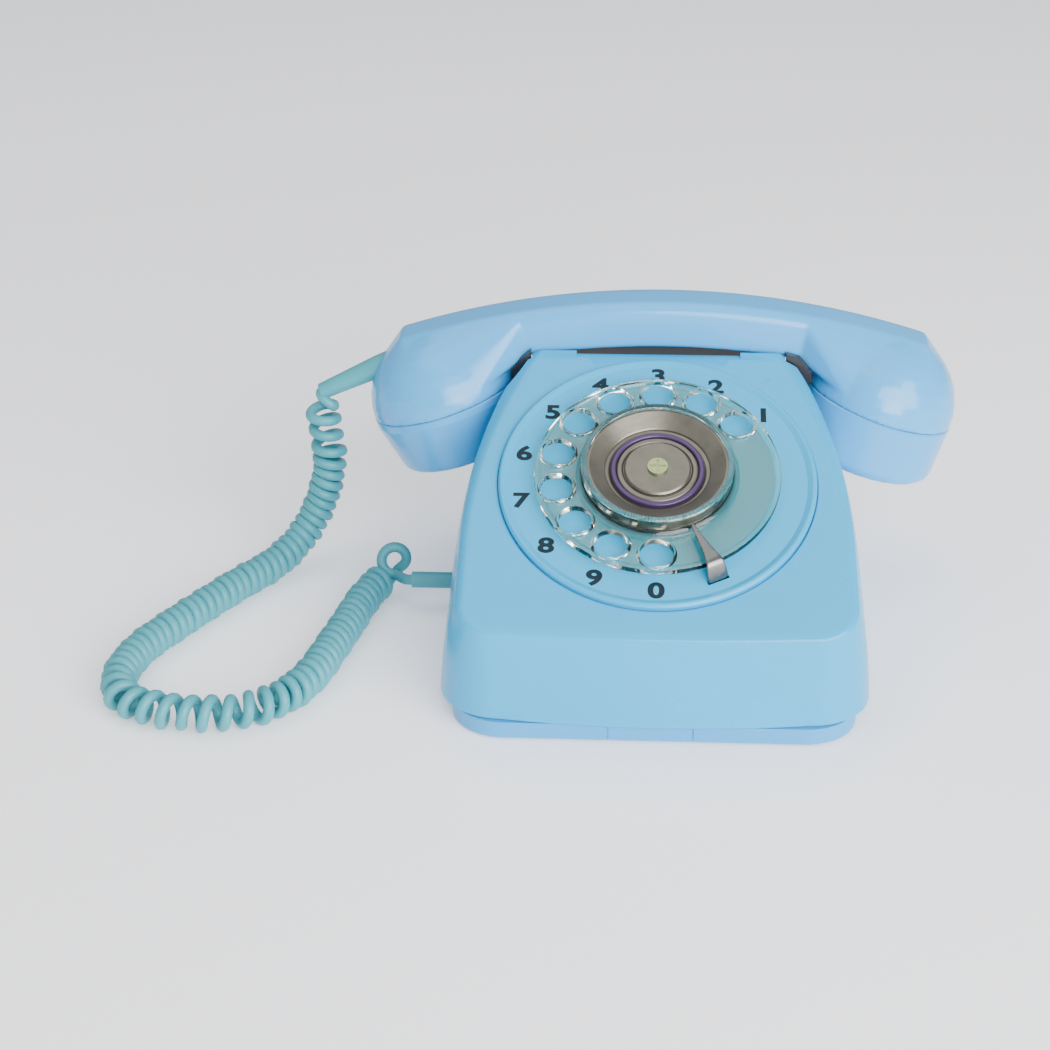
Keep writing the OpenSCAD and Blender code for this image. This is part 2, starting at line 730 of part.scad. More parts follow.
// Fairing that fills the corner between the handle's underside and the inner side of a cup
fairing_inset = 0.6;
module cup_fairing(side) {
    translate([handset_shift, handle_front + handle_depth - fairing_inset, 0])
        mirror([side < 0 ? 1 : 0, 0, 0]) rotate([90, 0, 0]) linear_extrude(handle_depth - 2 * fairing_inset)
            polygon([[57.6, 98.5], [58.4, 93.5], [60.2, 88.4], [72, 88.4], [72, 104], [60, 104]]);
}
boot_start = [-112.5, 41, 90];
boot_slope = 25.6;
handset_boot_length = 28;
module at_handset_boot() {
    translate(boot_start) rotate([0, -90 - boot_slope, 0]) children();
}
module handset_shell() color("lightskyblue") {
    difference() {
        union() {
            handle_arch();
            for (side = [-1, 1]) cup_dome(side, cup_radius);
            for (side = [-1, 1]) cup_fairing(side);
        }
        for (side = [-1, 1]) {
            at_cup(side) {
                translate([0, 0, -40]) cylinder(h = 46, r = cup_radius - cup_wall, $fn = 96);
                translate([0, 0, 5]) cylinder(h = 8, r = 20);
            }
        }
        at_handset_boot() translate([0, 0, -12]) cylinder(h = 24, r = 4.6);
    }
}
cap_edge = 5;
module receiver_form(side) {
    at_cup(side) rotate_extrude($fn = 96) polygon([
        [0, -cap_height], [cup_radius - cap_edge, -cap_height],
        for (a = [-75 : 15 : 0])
            [cup_radius - cap_edge + cap_edge * cos(a), cap_edge - cap_height + cap_edge * sin(a)],
        [cup_radius, -0.5], [cup_radius - 0.5, 0], [cup_radius - cup_wall, 0],
        [cup_radius - cup_wall, 4], [cup_radius - cup_wall - 1.6, 4],
        [cup_radius - cup_wall - 1.6, -cap_height + 5], [25, -cap_height + 2.5], [0, -cap_height + 2.5]
    ]);
}
module transmitter_form(side) {
    at_cup(side) rotate_extrude($fn = 96) polygon([
        [0, -cap_height], [22.8, -cap_height], [24.2, -24.1], [25.4, -23.5], [26.2, -22.6], [26.6, -21.5],
        [cup_radius, -3], [cup_radius, -0.5], [cup_radius - 0.5, 0], [cup_radius - cup_wall, 0],
        [cup_radius - cup_wall, 4], [cup_radius - cup_wall - 1.6, 4], [cup_radius - cup_wall - 1.6, -6],
        [25, -cap_height + 5], [23, -cap_height + 2.5], [0, -cap_height + 2.5]
    ]);
}
sound_hole = 1.1;
module sound_holes(side, rings) {
    at_cup(side) for (ring = [0 : rings], i = [0 : max(0, ring * 6 - 1)])
        rotate([0, 0, ring == 0 ? 0 : 60 * i / ring]) translate([ring * 4.2, 0, -cap_height - 1])
            cylinder(h = 6, r = sound_hole, $fn = 16);
}
module transmitter_cap() color("lightskyblue") {
    difference() {
        transmitter_form(-1);
        sound_holes(-1, 2);
    }
}
module receiver_cap() color("lightskyblue") {
    difference() {
        receiver_form(1);
        sound_holes(1, 1);
    }
}
module capsule(side) {
    at_cup(side) {
        translate([0, 0, -18]) cylinder(h = 12, r = 23);
        translate([0, 0, -6]) cylinder(h = 4, r = 17);
    }
}
module transmitter_capsule() color("silver") capsule(-1);
module receiver_capsule() color("silver") capsule(1);
module capsule_rings() color("dimgray") {
    for (side = [-1, 1]) at_cup(side) translate([0, 0, -19.6]) difference() {
        cylinder(h = 1.6, r = 24);
        translate([0, 0, -1]) cylinder(h = 4, r = 18);
    }
}
module handset_cord_boot() color("cadetblue") {
    at_handset_boot() {
        translate([0, 0, -6]) cylinder(h = 8, r = 4.6);
        translate([0, 0, 2]) cylinder(h = handset_boot_length - 2, r1 = 4.6, r2 = 3.4);
    }
}

// Curly cord: the coil's outer shape, from the handset's boot down to the table and back
coil_route = [
    [-138, 41, 71], [-137, 41, 60], [-136, 41, 48], [-138, 40, 36], [-143, 38, 23], [-150, 32, 13],
    [-159, 20, 8], [-170, 4, 7.5], [-180, -13, 7.5], [-190, -31, 7.5], [-198, -47, 7.5],
    [-202, -62, 7.5], [-202, -75, 7.5], [-197, -86, 7.5], [-187, -92, 7.5], [-174, -95, 7.5],
    [-159, -95, 7.5], [-146, -90, 7.5], [-136, -80, 7.5], [-129.5, -66, 7.5], [-125.5, -48, 7.5],
    [-121.5, -29, 7.5], [-118, -10, 7.5], [-114, 4, 8], [-110.5, 13, 10]
];
lead_route = [[-98, -2, 14], [-101, -1.8, 12.6], [-104, 0.5, 11], [-107, 4.5, 10], [-110, 9, 9.5]];

function unit(v) = v / norm(v);
function along(route, i) = unit(route[min(i + 1, len(route) - 1)] - route[max(i - 1, 0)]);
function beside(way) = unit(cross(way, [-0.6, 0.5, 0.62]));
// A tube swept along a route, as one closed skin
module swept_tube(route, radius, sides) {
    n = len(route);
    points = [for (i = [0 : n - 1])
        let (way = along(route, i), side = beside(way), up = cross(side, way))
        for (j = [0 : sides - 1]) let (a = 360 * j / sides)
            route[i] + radius * (side * cos(a) + up * sin(a))];
    skin = [for (i = [0 : n - 2], j = [0 : sides - 1])
        let (a = i * sides + j, b = i * sides + (j + 1) % sides)
        each [[a, b, b + sides], [a, b + sides, a + sides]]];
    start = [for (j = [sides - 1 : -1 : 0]) j];
    end = [for (j = [0 : sides - 1]) (n - 1) * sides + j];
    polyhedron(points, concat(skin, [start, end]), convexity = 8);
}
module curly_cord() color("cadetblue") swept_tube(coil_route, coil_diameter / 2, 12);
module cord_lead() color("cadetblue") swept_tube(lead_route, strand_diameter / 2, 8);

housing();
base_tray();
rubber_feet();
tray_screws();
number_plate();
finger_stop();
dial_chassis();
dial_bearing();
dial_return_spring();
pulse_contacts();
ringer_chassis();
ringer_coils();
gong_left();
gong_right();
gong_screws();
hook_bracket();
hook_contacts();
hook_return_spring();
circuit_board();
speech_transformer();
ringer_capacitor();
terminal_block();
line_inlet();
housing_cord_boot();
cord_lead();
curly_cord();
finger_wheel();
centre_dish();
centre_ring();
centre_cap();
centre_screw();
dial_shaft();
main_gear();
intermediate_gear();
pulse_cam();
governor_shaft();
governor_weights();
hook_yoke();
hook_plungers();
hook_lever();
clapper_arm();
clapper_ball();
handset_shell();
transmitter_cap();
receiver_cap();
transmitter_capsule();
receiver_capsule();
capsule_rings();
handset_cord_boot();
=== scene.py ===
import json
import math

import bmesh
import bpy
import numpy as np
from mathutils import Matrix, Vector


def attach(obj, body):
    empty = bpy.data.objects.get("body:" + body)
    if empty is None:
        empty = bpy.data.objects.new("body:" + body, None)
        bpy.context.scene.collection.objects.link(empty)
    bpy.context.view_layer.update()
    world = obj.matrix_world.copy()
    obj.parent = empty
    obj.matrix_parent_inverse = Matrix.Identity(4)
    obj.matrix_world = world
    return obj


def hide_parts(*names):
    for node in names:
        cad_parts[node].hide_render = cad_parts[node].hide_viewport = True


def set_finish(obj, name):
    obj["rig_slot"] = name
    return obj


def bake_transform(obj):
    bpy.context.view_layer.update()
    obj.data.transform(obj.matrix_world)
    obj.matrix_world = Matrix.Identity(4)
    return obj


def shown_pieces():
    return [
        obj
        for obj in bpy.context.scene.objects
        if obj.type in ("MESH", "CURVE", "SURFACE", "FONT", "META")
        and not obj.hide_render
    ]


# The pale blue rotary desk telephone: camera and cord first, then the moulded shells, the dial,
# the materials and the light. Sizes are in millimetres until MM turns them into metres.
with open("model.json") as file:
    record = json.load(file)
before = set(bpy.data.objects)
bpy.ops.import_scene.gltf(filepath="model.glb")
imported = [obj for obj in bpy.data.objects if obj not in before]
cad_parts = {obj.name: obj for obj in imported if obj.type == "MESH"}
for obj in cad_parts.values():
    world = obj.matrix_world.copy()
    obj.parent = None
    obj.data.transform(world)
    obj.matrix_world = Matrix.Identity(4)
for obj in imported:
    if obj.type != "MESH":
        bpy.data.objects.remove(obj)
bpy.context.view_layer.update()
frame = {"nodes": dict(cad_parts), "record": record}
nodes = frame["nodes"]
MM = 0.001


# ---------------------------------------------------------------- helpers
def mesh_piece(name, points, faces, place=None):
    """A piece from points in metres, with its faces turned outwards, moved to its place if one is given."""
    mesh = bpy.data.meshes.new(name)
    mesh.from_pydata([tuple(p) for p in points], [], [tuple(f) for f in faces])
    mesh.validate()
    made = bmesh.new()
    made.from_mesh(mesh)
    bmesh.ops.recalc_face_normals(made, faces=made.faces)
    made.to_mesh(mesh)
    made.free()
    if place is not None:
        mesh.transform(place)
    piece = bpy.data.objects.new(name, mesh)
    bpy.context.scene.collection.objects.link(piece)
    return piece


def apply_modifier(piece, kind, **settings):
    modifier = piece.modifiers.new(kind.title(), kind)
    for key, value in settings.items():
        setattr(modifier, key, value)
    with bpy.context.temp_override(object=piece, active_object=piece, selected_objects=[piece]):
        bpy.ops.object.modifier_apply(modifier=modifier.name)
    return piece


def cut(piece, cutter, operation="DIFFERENCE"):
    """Takes the cutter out of the piece, or adds it to the piece, and removes the cutter."""
    apply_modifier(piece, "BOOLEAN", object=cutter, operation=operation, solver="MANIFOLD")
    bpy.data.objects.remove(cutter)
    return piece


def smooth_shade(piece, degrees=30):
    piece.data.shade_smooth()
    piece.data.set_sharp_from_angle(angle=math.radians(degrees))
    return piece


def rounded(points, radius, steps=6):
    """A closed outline with each corner rounded. A corner may give its own radius as a third number."""
    out = []
    count = len(points)
    for i, p in enumerate(points):
        here = Vector(p[:2])
        before = Vector(points[i - 1][:2]) - here
        after = Vector(points[(i + 1) % count][:2]) - here
        r = min(p[2] if len(p) > 2 else radius, before.length * 0.45, after.length * 0.45)
        if r <= 0:
            out.append(tuple(here))
            continue
        start = here + before.normalized() * r
        end = here + after.normalized() * r
        for k in range(steps + 1):
            t = k / steps
            out.append(tuple(start * (1 - t) ** 2 + here * (2 * t * (1 - t)) + end * t ** 2))
    return out


def revolve(name, profile, steps=160, place=None):
    """A closed ring, from a closed outline of (radius, height) points in millimetres."""
    count = len(profile)
    points = []
    for k in range(steps):
        a = 2 * math.pi * k / steps
        points += [(r * math.cos(a) * MM, r * math.sin(a) * MM, h * MM) for r, h in profile]
    faces = [
        (k * count + i, ((k + 1) % steps) * count + i,
         ((k + 1) % steps) * count + (i + 1) % count, k * count + (i + 1) % count)
        for k in range(steps) for i in range(count)
    ]
    return mesh_piece(name, points, faces, place)


def solid_turn(name, profile, steps=96, place=None):
    """A turned solid, from an open outline that starts and ends on the axis."""
    inner = profile[1:-1]
    count = len(inner)
    points = [(0, 0, profile[0][1] * MM)]
    for k in range(steps):
        a = 2 * math.pi * k / steps
        points += [(r * math.cos(a) * MM, r * math.sin(a) * MM, h * MM) for r, h in inner]
    last = len(points)
    points.append((0, 0, profile[-1][1] * MM))
    faces = []
    for k in range(steps):
        a = 1 + k * count
        b = 1 + ((k + 1) % steps) * count
        faces.append((0, b, a))
        faces += [(a + i, b + i, b + i + 1, a + i + 1) for i in range(count - 1)]
        faces.append((last, a + count - 1, b + count - 1))
    return mesh_piece(name, points, faces, place)


def prism(name, outline, low, high, place=None):
    """An outline in millimetres, drawn out from height low to height high."""
    count = len(outline)
    points = [(x * MM, y * MM, h * MM) for h in (low, high) for x, y in outline]
    faces = [(i, (i + 1) % count, count + (i + 1) % count, count + i) for i in range(count)]
    faces += [tuple(range(count - 1, -1, -1)), tuple(range(count, 2 * count))]
    return mesh_piece(name, points, faces, place)


def hull(name, points):
    """The convex skin round points in millimetres."""
    piece = mesh_piece(name, [tuple(Vector(p) * MM) for p in points], [])
    made = bmesh.new()
    made.from_mesh(piece.data)
    result = bmesh.ops.convex_hull(made, input=made.verts)
    spare = result["geom_interior"] + result["geom_unused"]
    unused = [v for v in spare if isinstance(v, bmesh.types.BMVert)]
    bmesh.ops.delete(made, geom=list(set(unused)), context="VERTS")
    bmesh.ops.recalc_face_normals(made, faces=made.faces)
    made.to_mesh(piece.data)
    made.free()
    return piece


def join(pieces):
    """All the pieces' meshes in the first piece."""
    made = bmesh.new()
    for piece in pieces:
        made.from_mesh(piece.data)
    made.to_mesh(pieces[0].data)
    made.free()
    for piece in pieces[1:]:
        bpy.data.objects.remove(piece)
    return pieces[0]


def turn(axis, degrees):
    return Matrix.Rotation(math.radians(degrees), 4, axis)


def move(x, y, z):
    return Matrix.Translation(Vector((x, y, z)) * MM)


# ---------------------------------------------------------------- places, in millimetres
FACE_SLOPE = 25
DIAL_Y, DIAL_Z = -29.8, 74
AT_DIAL = move(0, DIAL_Y, DIAL_Z) @ turn("X", FACE_SLOPE)
HANDSET_SHIFT = 1.5
CUP_OFFSET, CUP_Y, CUP_Z, CUP_LEAN, CUP_TIP = 87.8, 41, 78, 18, 3


def at_cup(side):
    return (move(HANDSET_SHIFT + side * CUP_OFFSET, CUP_Y, CUP_Z)
            @ turn("Y", side * CUP_LEAN) @ turn("X", -CUP_TIP))


# ---------------------------------------------------------------- camera
CAMERA_PITCH, CAMERA_YAW, CAMERA_ROLL = 27.25, 3.51, -0.56
CAMERA_PLACE = Vector((-0.0084, -0.7105, 0.4054))
CAMERA_SENSOR, CAMERA_LENS = 36, 68.571


def make_camera():
    pitch, yaw, roll = (math.radians(a) for a in (CAMERA_PITCH, CAMERA_YAW, CAMERA_ROLL))
    ahead = Vector((-math.sin(yaw) * math.cos(pitch), math.cos(yaw) * math.cos(pitch),
                    -math.sin(pitch)))
    right = Vector((math.cos(yaw), math.sin(yaw), 0))
    down = ahead.cross(right)
    level_right = right * math.cos(roll) - down * math.sin(roll)
    level_down = right * math.sin(roll) + down * math.cos(roll)
    data = bpy.data.cameras.new("camera")
    data.sensor_width = CAMERA_SENSOR
    data.lens = CAMERA_LENS
    data.clip_start = 0.05
    camera = bpy.data.objects.new("camera", data)
    columns = (level_right, -level_down, -ahead, CAMERA_PLACE)
    rows = [[columns[c][r] for c in range(4)] for r in range(3)]
    camera.matrix_world = Matrix(rows + [[0, 0, 0, 1]])
    bpy.context.scene.collection.objects.link(camera)
    bpy.context.scene.camera = camera


# ---------------------------------------------------------------- cord
COIL_ROUTE = [
    (-138, 41, 71), (-137, 41, 60), (-136, 41, 48), (-138, 40, 36), (-143, 38, 23), (-150, 32, 13),
    (-159, 20, 8), (-170, 4, 7.5), (-180, -13, 7.5), (-190, -31, 7.5), (-198, -47, 7.5),
    (-202, -62, 7.5), (-202, -75, 7.5), (-197, -86, 7.5), (-187, -92, 7.5), (-174, -95, 7.5),
    (-159, -95, 7.5), (-146, -90, 7.5), (-136, -80, 7.5), (-129.5, -66, 7.5), (-125.5, -48, 7.5),
    (-121.5, -29, 7.5), (-118, -10, 7.5), (-114, 4, 7.5), (-112, 9, 7.5),
]
ROUTE_STEP = 0.5
STRAND = 4.3
STRAND_SIDES = 12
COIL_RADIUS = 4.95
TIGHT_PITCH = 4.4
LOOSE_PITCH, LOOSE_AT, LOOSE_REACH = 3.4, 12, 10
DRAWN_PITCH, DRAWN_FROM, DRAWN_TO = 3.1, 187, 258
END_PITCH, END_REACH = 0.8, 8
HANDSET_TIP = Vector((-137.75, 41, 77.9))
HANDSET_TIP_WAY = Vector((-0.902, 0, -0.432))
HOUSING_TIP = Vector((-98, -2, 14))
RING_STEP = 2 * math.pi / 16
COIL_END = (0, 0, -1)
LOOP_CENTRE, LOOP_RADIUS = Vector((-107, 12, 15.6)), 5
LOOP_START, LOOP_END, LOOP_STEPS = -60, 270, 22
LOOP_UP = Vector((0, 0.3, 0.954))
LOOP_NEARER = Vector((0, -5, 0))


def route_line(points):
    """A smooth line through the points, cut into even steps."""
    p = [Vector(q) for q in points]
    p = [p[0] * 2 - p[1]] + p + [p[-1] * 2 - p[-2]]
    line = []
    for i in range(1, len(p) - 2):
        a, b, c, d = p[i - 1], p[i], p[i + 1], p[i + 2]
        for k in range(40):
            t = k / 40
            line.append(0.5 * (2 * b + (c - a) * t + (2 * a - 5 * b + 4 * c - d) * t * t
                               + (3 * b - a - 3 * c + d) * t ** 3))
    line.append(p[-2])
    line = np.array([tuple(q) for q in line])
    at = np.concatenate([[0], np.cumsum(np.linalg.norm(np.diff(line, axis=0), axis=1))])
    even = np.arange(0, at[-1], ROUTE_STEP)
    return np.stack([np.interp(even, at, line[:, k]) for k in range(3)], 1), even


def upright_frames(line):
    """Two directions across the line at each of its points, carried along without twist."""
    way = np.gradient(line, axis=0)
    way /= np.linalg.norm(way, axis=1)[:, None]
    across = np.zeros_like(way)
    first = np.cross(way[0], (0, 1, 0))
    across[0] = first / np.linalg.norm(first)
    for i in range(1, len(line)):
        v = across[i - 1] - way[i] * (across[i - 1] @ way[i])
        across[i] = v / np.linalg.norm(v)
    return across, np.cross(way, across)


def pitch_at(s, total):
    """How far apart the coil's turns lie: loose at both ends, drawn out in front, tight elsewhere."""
    loose_start = LOOSE_PITCH * math.exp(-((s - LOOSE_AT) / LOOSE_REACH) ** 2)
    drawn = DRAWN_PITCH / (1 + math.exp(-(s - DRAWN_FROM) / 5)) / (1 + math.exp((s - DRAWN_TO) / 6))
    loose_end = END_PITCH * math.exp(-((total - s) / END_REACH) ** 2)
    return TIGHT_PITCH + loose_start + drawn + loose_end


def coil_points():
    """The strand's line: a left-handed coil along the route."""
    line, at = route_line(COIL_ROUTE)
    across, up = upright_frames(line)
    total = at[-1]
    steps = [2 * math.pi * ROUTE_STEP / pitch_at(s, total) for s in at[:-1]]
    angle = np.concatenate([[0], np.cumsum(steps)])
    end = math.atan2(-np.dot(COIL_END, up[-1]), np.dot(COIL_END, across[-1]))
    angle *= (2 * math.pi * round((angle[-1] - end) / (2 * math.pi)) + end) / angle[-1]
    turns = np.arange(0, angle[-1], RING_STEP)
    points = []
    for a, where in zip(turns, np.interp(turns, angle, at)):
        centre, u, v = (np.array([np.interp(where, at, rows[:, k]) for k in range(3)])
                        for rows in (line, across, up))
        wobble = (1 + 0.05 * math.sin(a * 0.37 + 0.6 * math.sin(a * 0.11))
                  + 0.08 * math.exp(-((where - 14) / 12) ** 2))
        points.append(centre + COIL_RADIUS * wobble * (u * math.cos(a) - v * math.sin(a)))
    return points


def loop_points():
    """One upright turn on the coil's end, before the strand runs into the housing's boot."""
    out = []
    for k in range(LOOP_STEPS + 1):
        t = k / LOOP_STEPS
        a = math.radians(LOOP_START + (LOOP_END - LOOP_START) * t)
        out.append(LOOP_CENTRE + LOOP_NEARER * (t - 0.5)
                   + (Vector((1, 0, 0)) * math.cos(a) + LOOP_UP * math.sin(a)) * LOOP_RADIUS)
    return out


def bridge(a, a_way, b, b_way, count):
    """A bend from point a to point b that leaves and arrives in the given directions."""
    out = []
    for k in range(1, count):
        t = k / count
        out.append(a * (2 * t ** 3 - 3 * t ** 2 + 1) + a_way * (t ** 3 - 2 * t ** 2 + t)
                   + b * (3 * t ** 2 - 2 * t ** 3) + b_way * (t ** 3 - t ** 2))
    return out


def tube(name, path, radius, sides):
    """A tube with flat closed ends along the path, in metres."""
    line = np.array(path)
    across, up = upright_frames(line)
    points, faces = [], []
    for p, u, v in zip(line, across, up):
        for k in range(sides):
            a = 2 * math.pi * k / sides
            points.append(p + radius * (u * math.cos(a) + v * math.sin(a)))
    for i in range(len(line) - 1):
        for k in range(sides):
            j = (k + 1) % sides
            faces.append((i * sides + k, i * sides + j, (i + 1) * sides + j, (i + 1) * sides + k))
    faces += [tuple(range(sides)), tuple((len(line) - 1) * sides + k for k in range(sides))]
    return mesh_piece(name, points, faces)


def make_cord():
    coil = [Vector(p) for p in coil_points()]
    first_way = (coil[1] - coil[0]).normalized()
    last_way = (coil[-1] - coil[-2]).normalized()
    exit_way = Vector((1, 0, 0.25)).normalized()
    path = [HANDSET_TIP - HANDSET_TIP_WAY * 2, HANDSET_TIP]
    path += bridge(HANDSET_TIP, HANDSET_TIP_WAY * 9, coil[0], first_way * 13, 12) + coil
    loop = loop_points()
    path += bridge(coil[-1], last_way * 10, loop[0], (loop[1] - loop[0]).normalized() * 10, 8) + loop
    path += bridge(loop[-1], (loop[-1] - loop[-2]).normalized() * 10, HOUSING_TIP, exit_way * 11, 12)
    path += [HOUSING_TIP, HOUSING_TIP + exit_way * 2]
    path = [p * MM for p in path]
    piece = tube("curly_handset_cord", path, STRAND / 2 * MM, STRAND_SIDES)
    piece.data.shade_smooth()
    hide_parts("curly_cord", "cord_lead")
    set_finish(piece, "teal_cord")
    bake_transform(piece)


# ---------------------------------------------------------------- housing
FOOT_HALF_WIDTH, HALF_DEPTH, FOOT_HEIGHT, WALL = 80, 99, 7.5, 2.6
FACE_FRONT, FACE_BACK = -71.5, 66
FACE_FRONT_HALF_WIDTH, FACE_BACK_HALF_WIDTH, FACE_TAPER_START = 71.7, 48.5, -30
FACE_CORNER, FOOT_CORNER, FOOT_REAR_CORNER = 13, 24, 24
FACE_BULGE, FOOT_FRONT_BULGE, FOOT_REAR_BULGE = 0.8, 3.8, 2
FOOT_TAPER_START, FOOT_TAPER = -72, 8
NECK_REAR, NECK_REAR_HEIGHT, NECK_CORNER, NECK_BULGE = 74, 96, 12, 2
CREST_ROUNDING, ROUNDING_STEPS = 3, 8
# Steps along each stretch of the crest's and the foot's half outlines, which match point by point
FRONT_STEPS, CORNER_STEPS, SIDE_STEPS, NECK_STEPS, REAR_STEPS = 12, 14, 30, 8, 12
WALL_STEPS, WALL_SPACING, WALL_START = 34, 1.5, 0.036
TAN, COS, SIN = (f(math.radians(FACE_SLOPE)) for f in (math.tan, math.cos, math.sin))


def face_height(y):
    return DIAL_Z + (y - DIAL_Y) * TAN


def up_face(s):
    return DIAL_Y + s * COS, DIAL_Z + s * SIN


def crest_outline(inset, sink):
    """Right half of the face's outline, front to rear, drawn in by inset and lowered by sink."""
    out = []
    corner_x = FACE_FRONT_HALF_WIDTH - FACE_CORNER
    corner_s = FACE_FRONT + FACE_BULGE + FACE_CORNER
    neck_front = up_face(FACE_BACK)[0]
    for i in range(FRONT_STEPS):
        t = i / FRONT_STEPS
        y, z = up_face(FACE_FRONT + FACE_BULGE * t * t + inset)
        out.append((corner_x * t, y, z - sink))
    for i in range(CORNER_STEPS + 1):
        a = math.radians(90 * i / CORNER_STEPS - 90)
        y, z = up_face(corner_s + (FACE_CORNER - inset) * math.sin(a))
        out.append((corner_x + (FACE_CORNER - inset) * math.cos(a), y, z - sink))
    for i in range(1, SIDE_STEPS + 1):
        s = corner_s + (FACE_BACK - corner_s) * i / SIDE_STEPS
        taper = max(0, s - FACE_TAPER_START) / (FACE_BACK - FACE_TAPER_START)
        half = FACE_FRONT_HALF_WIDTH - (FACE_FRONT_HALF_WIDTH - FACE_BACK_HALF_WIDTH) * taper ** 2
        y, z = up_face(s)
        out.append((half - inset, y, z - sink))
    for i in range(1, NECK_STEPS + 1):
        t = i / NECK_STEPS
        end = NECK_REAR - NECK_CORNER
        z = face_height(neck_front) + (NECK_REAR_HEIGHT - face_height(neck_front)) * t
        out.append((FACE_BACK_HALF_WIDTH - inset, neck_front + (end - neck_front) * t, z - sink))
    for i in range(1, REAR_STEPS + 1):
        a = math.radians(90 * i / REAR_STEPS)
        r = NECK_CORNER - inset
        out.append((FACE_BACK_HALF_WIDTH - NECK_CORNER + r * math.cos(a),
                    NECK_REAR - NECK_CORNER + r * math.sin(a), NECK_REAR_HEIGHT - sink))
    for i in range(1, REAR_STEPS + 1):
        t = 1 - i / REAR_STEPS
        out.append(((FACE_BACK_HALF_WIDTH - NECK_CORNER) * t,
                    NECK_REAR + NECK_BULGE * (1 - t * t) - inset, NECK_REAR_HEIGHT - sink))
    return [Vector(p) for p in out]


def foot_outline(inset, height):
    """Right half of the foot's outline, front to rear, drawn in by inset."""
    out = []
    corner_x = FOOT_HALF_WIDTH - FOOT_CORNER
    corner_y = FOOT_CORNER + FOOT_FRONT_BULGE - HALF_DEPTH
    neck_front = up_face(FACE_BACK)[0] + 6

    def half(y):
        taper = max(0, y - FOOT_TAPER_START) / (HALF_DEPTH - FOOT_TAPER_START)
        return FOOT_HALF_WIDTH - FOOT_TAPER * taper ** 2

    rear_x = half(HALF_DEPTH) - FOOT_REAR_CORNER
    rear_y = HALF_DEPTH - FOOT_REAR_BULGE - FOOT_REAR_CORNER
    for i in range(FRONT_STEPS):
        t = i / FRONT_STEPS
        out.append((corner_x * t, inset - HALF_DEPTH + FOOT_FRONT_BULGE * t * t, height))
    for i in range(CORNER_STEPS + 1):
        a = math.radians(90 * i / CORNER_STEPS - 90)
        r = FOOT_CORNER - inset
        out.append((corner_x + r * math.cos(a), corner_y + r * math.sin(a), height))
    for i in range(1, SIDE_STEPS + 1):
        y = corner_y + (neck_front - corner_y) * i / SIDE_STEPS
        out.append((half(y) - inset, y, height))
    for i in range(1, NECK_STEPS + 1):
        y = neck_front + (rear_y - neck_front) * i / NECK_STEPS
        out.append((half(y) - inset, y, height))
    for i in range(1, REAR_STEPS + 1):
        a = math.radians(90 * i / REAR_STEPS)
        r = FOOT_REAR_CORNER - inset
        out.append((rear_x + r * math.cos(a), rear_y + r * math.sin(a), height))
    for i in range(1, REAR_STEPS + 1):
        t = 1 - i / REAR_STEPS
        out.append((rear_x * t, HALF_DEPTH - FOOT_REAR_BULGE * t * t - inset, height))
    return [Vector(p) for p in out]


def between(top, foot, v):
    """A point of the wall, a share v of the way down from the crest, on a curve that swells outwards."""
    b = 0.35 * v + 0.65 * math.sqrt(1 - (1 - v) ** 2)
    return Vector((top.x + (foot.x - top.x) * b, top.y + (foot.y - top.y) * b,
                   top.z + (foot.z - top.z) * v))


def body_solid(name, inset, foot_z, rounding):
    """The housing's closed outer form, or its cavity, as one skin from the face down to the foot."""
    crest = crest_outline(inset, inset / COS)
    foot = foot_outline(inset, foot_z)
    rings = []
    wall_start = 0
    if rounding:
        inner = crest_outline(inset + rounding, inset / COS)
        wall_start = WALL_START
        for k in range(ROUNDING_STEPS + 1):
            t = k / ROUNDING_STEPS
            rings.append([a * (1 - t) ** 2 + c * (2 * t * (1 - t)) + between(c, f, wall_start) * t ** 2
                          for a, c, f in zip(inner, crest, foot)])
    for k in range(1 if rounding else 0, WALL_STEPS + 1):
        v = wall_start + (1 - wall_start) * (k / WALL_STEPS) ** WALL_SPACING
        rings.append([between(c, f, v) for c, f in zip(crest, foot)])
    if rounding:
        low = foot_outline(inset + 0.6, foot_z)
        for point, ring_point in zip(rings[-1], foot_outline(inset, foot_z + 0.6)):
            point.z = ring_point.z
        rings.append(low)
    half_count = len(crest)
    count = 2 * half_count - 2
    points = []
    for ring in rings:
        points += [p * MM for p in ring]
        points += [Vector((-p.x, p.y, p.z)) * MM for p in ring[half_count - 2:0:-1]]
    faces = [(k * count + j, k * count + (j + 1) % count,
              (k + 1) * count + (j + 1) % count, (k + 1) * count + j)
             for k in range(len(rings) - 1) for j in range(count)]
    for i in range(half_count - 1):
        left = ([count - i] if i else []) + ([count - i - 1] if i < half_count - 2 else [])
        faces.append(tuple([i] + left + [i + 1]))
    last = (len(rings) - 1) * count
    faces.append(tuple(last + j for j in range(count)))
    return mesh_piece(name, points, faces)


TROUGH_FRONT, TROUGH_REAR, TROUGH_FLOOR, TROUGH_HALF_LENGTH = 30.7, 59.2, 89.5, 60


def trough(grow):
    """The channel across the neck, in which the handset's handle lies."""
    outline = rounded([
        (TROUGH_FRONT - grow, 160, 0), (TROUGH_FRONT - grow, TROUGH_FLOOR - grow, 4),
        (TROUGH_REAR + grow, TROUGH_FLOOR - grow, 4), (TROUGH_REAR + grow, 160, 0)], 4, 8)
    return prism("trough", outline, -TROUGH_HALF_LENGTH, TROUGH_HALF_LENGTH, turn("Z", 90) @ turn("X", 90))


CUP_RADIUS, CAP_HEIGHT, HOLLOW_GAP, HOLLOW_LEAN, HOLLOW_SEAM = 31, 24.4, 2.4, 4, 12
WELL_OUT, WELL_BACK = 40, 80
HORN_INNER, HORN_OUTER, HORN_FRONT, HORN_BACK, HORN_FLOOR, HORN_GAP = 50.6, 72, 27.5, 32.5, 84, 0.4


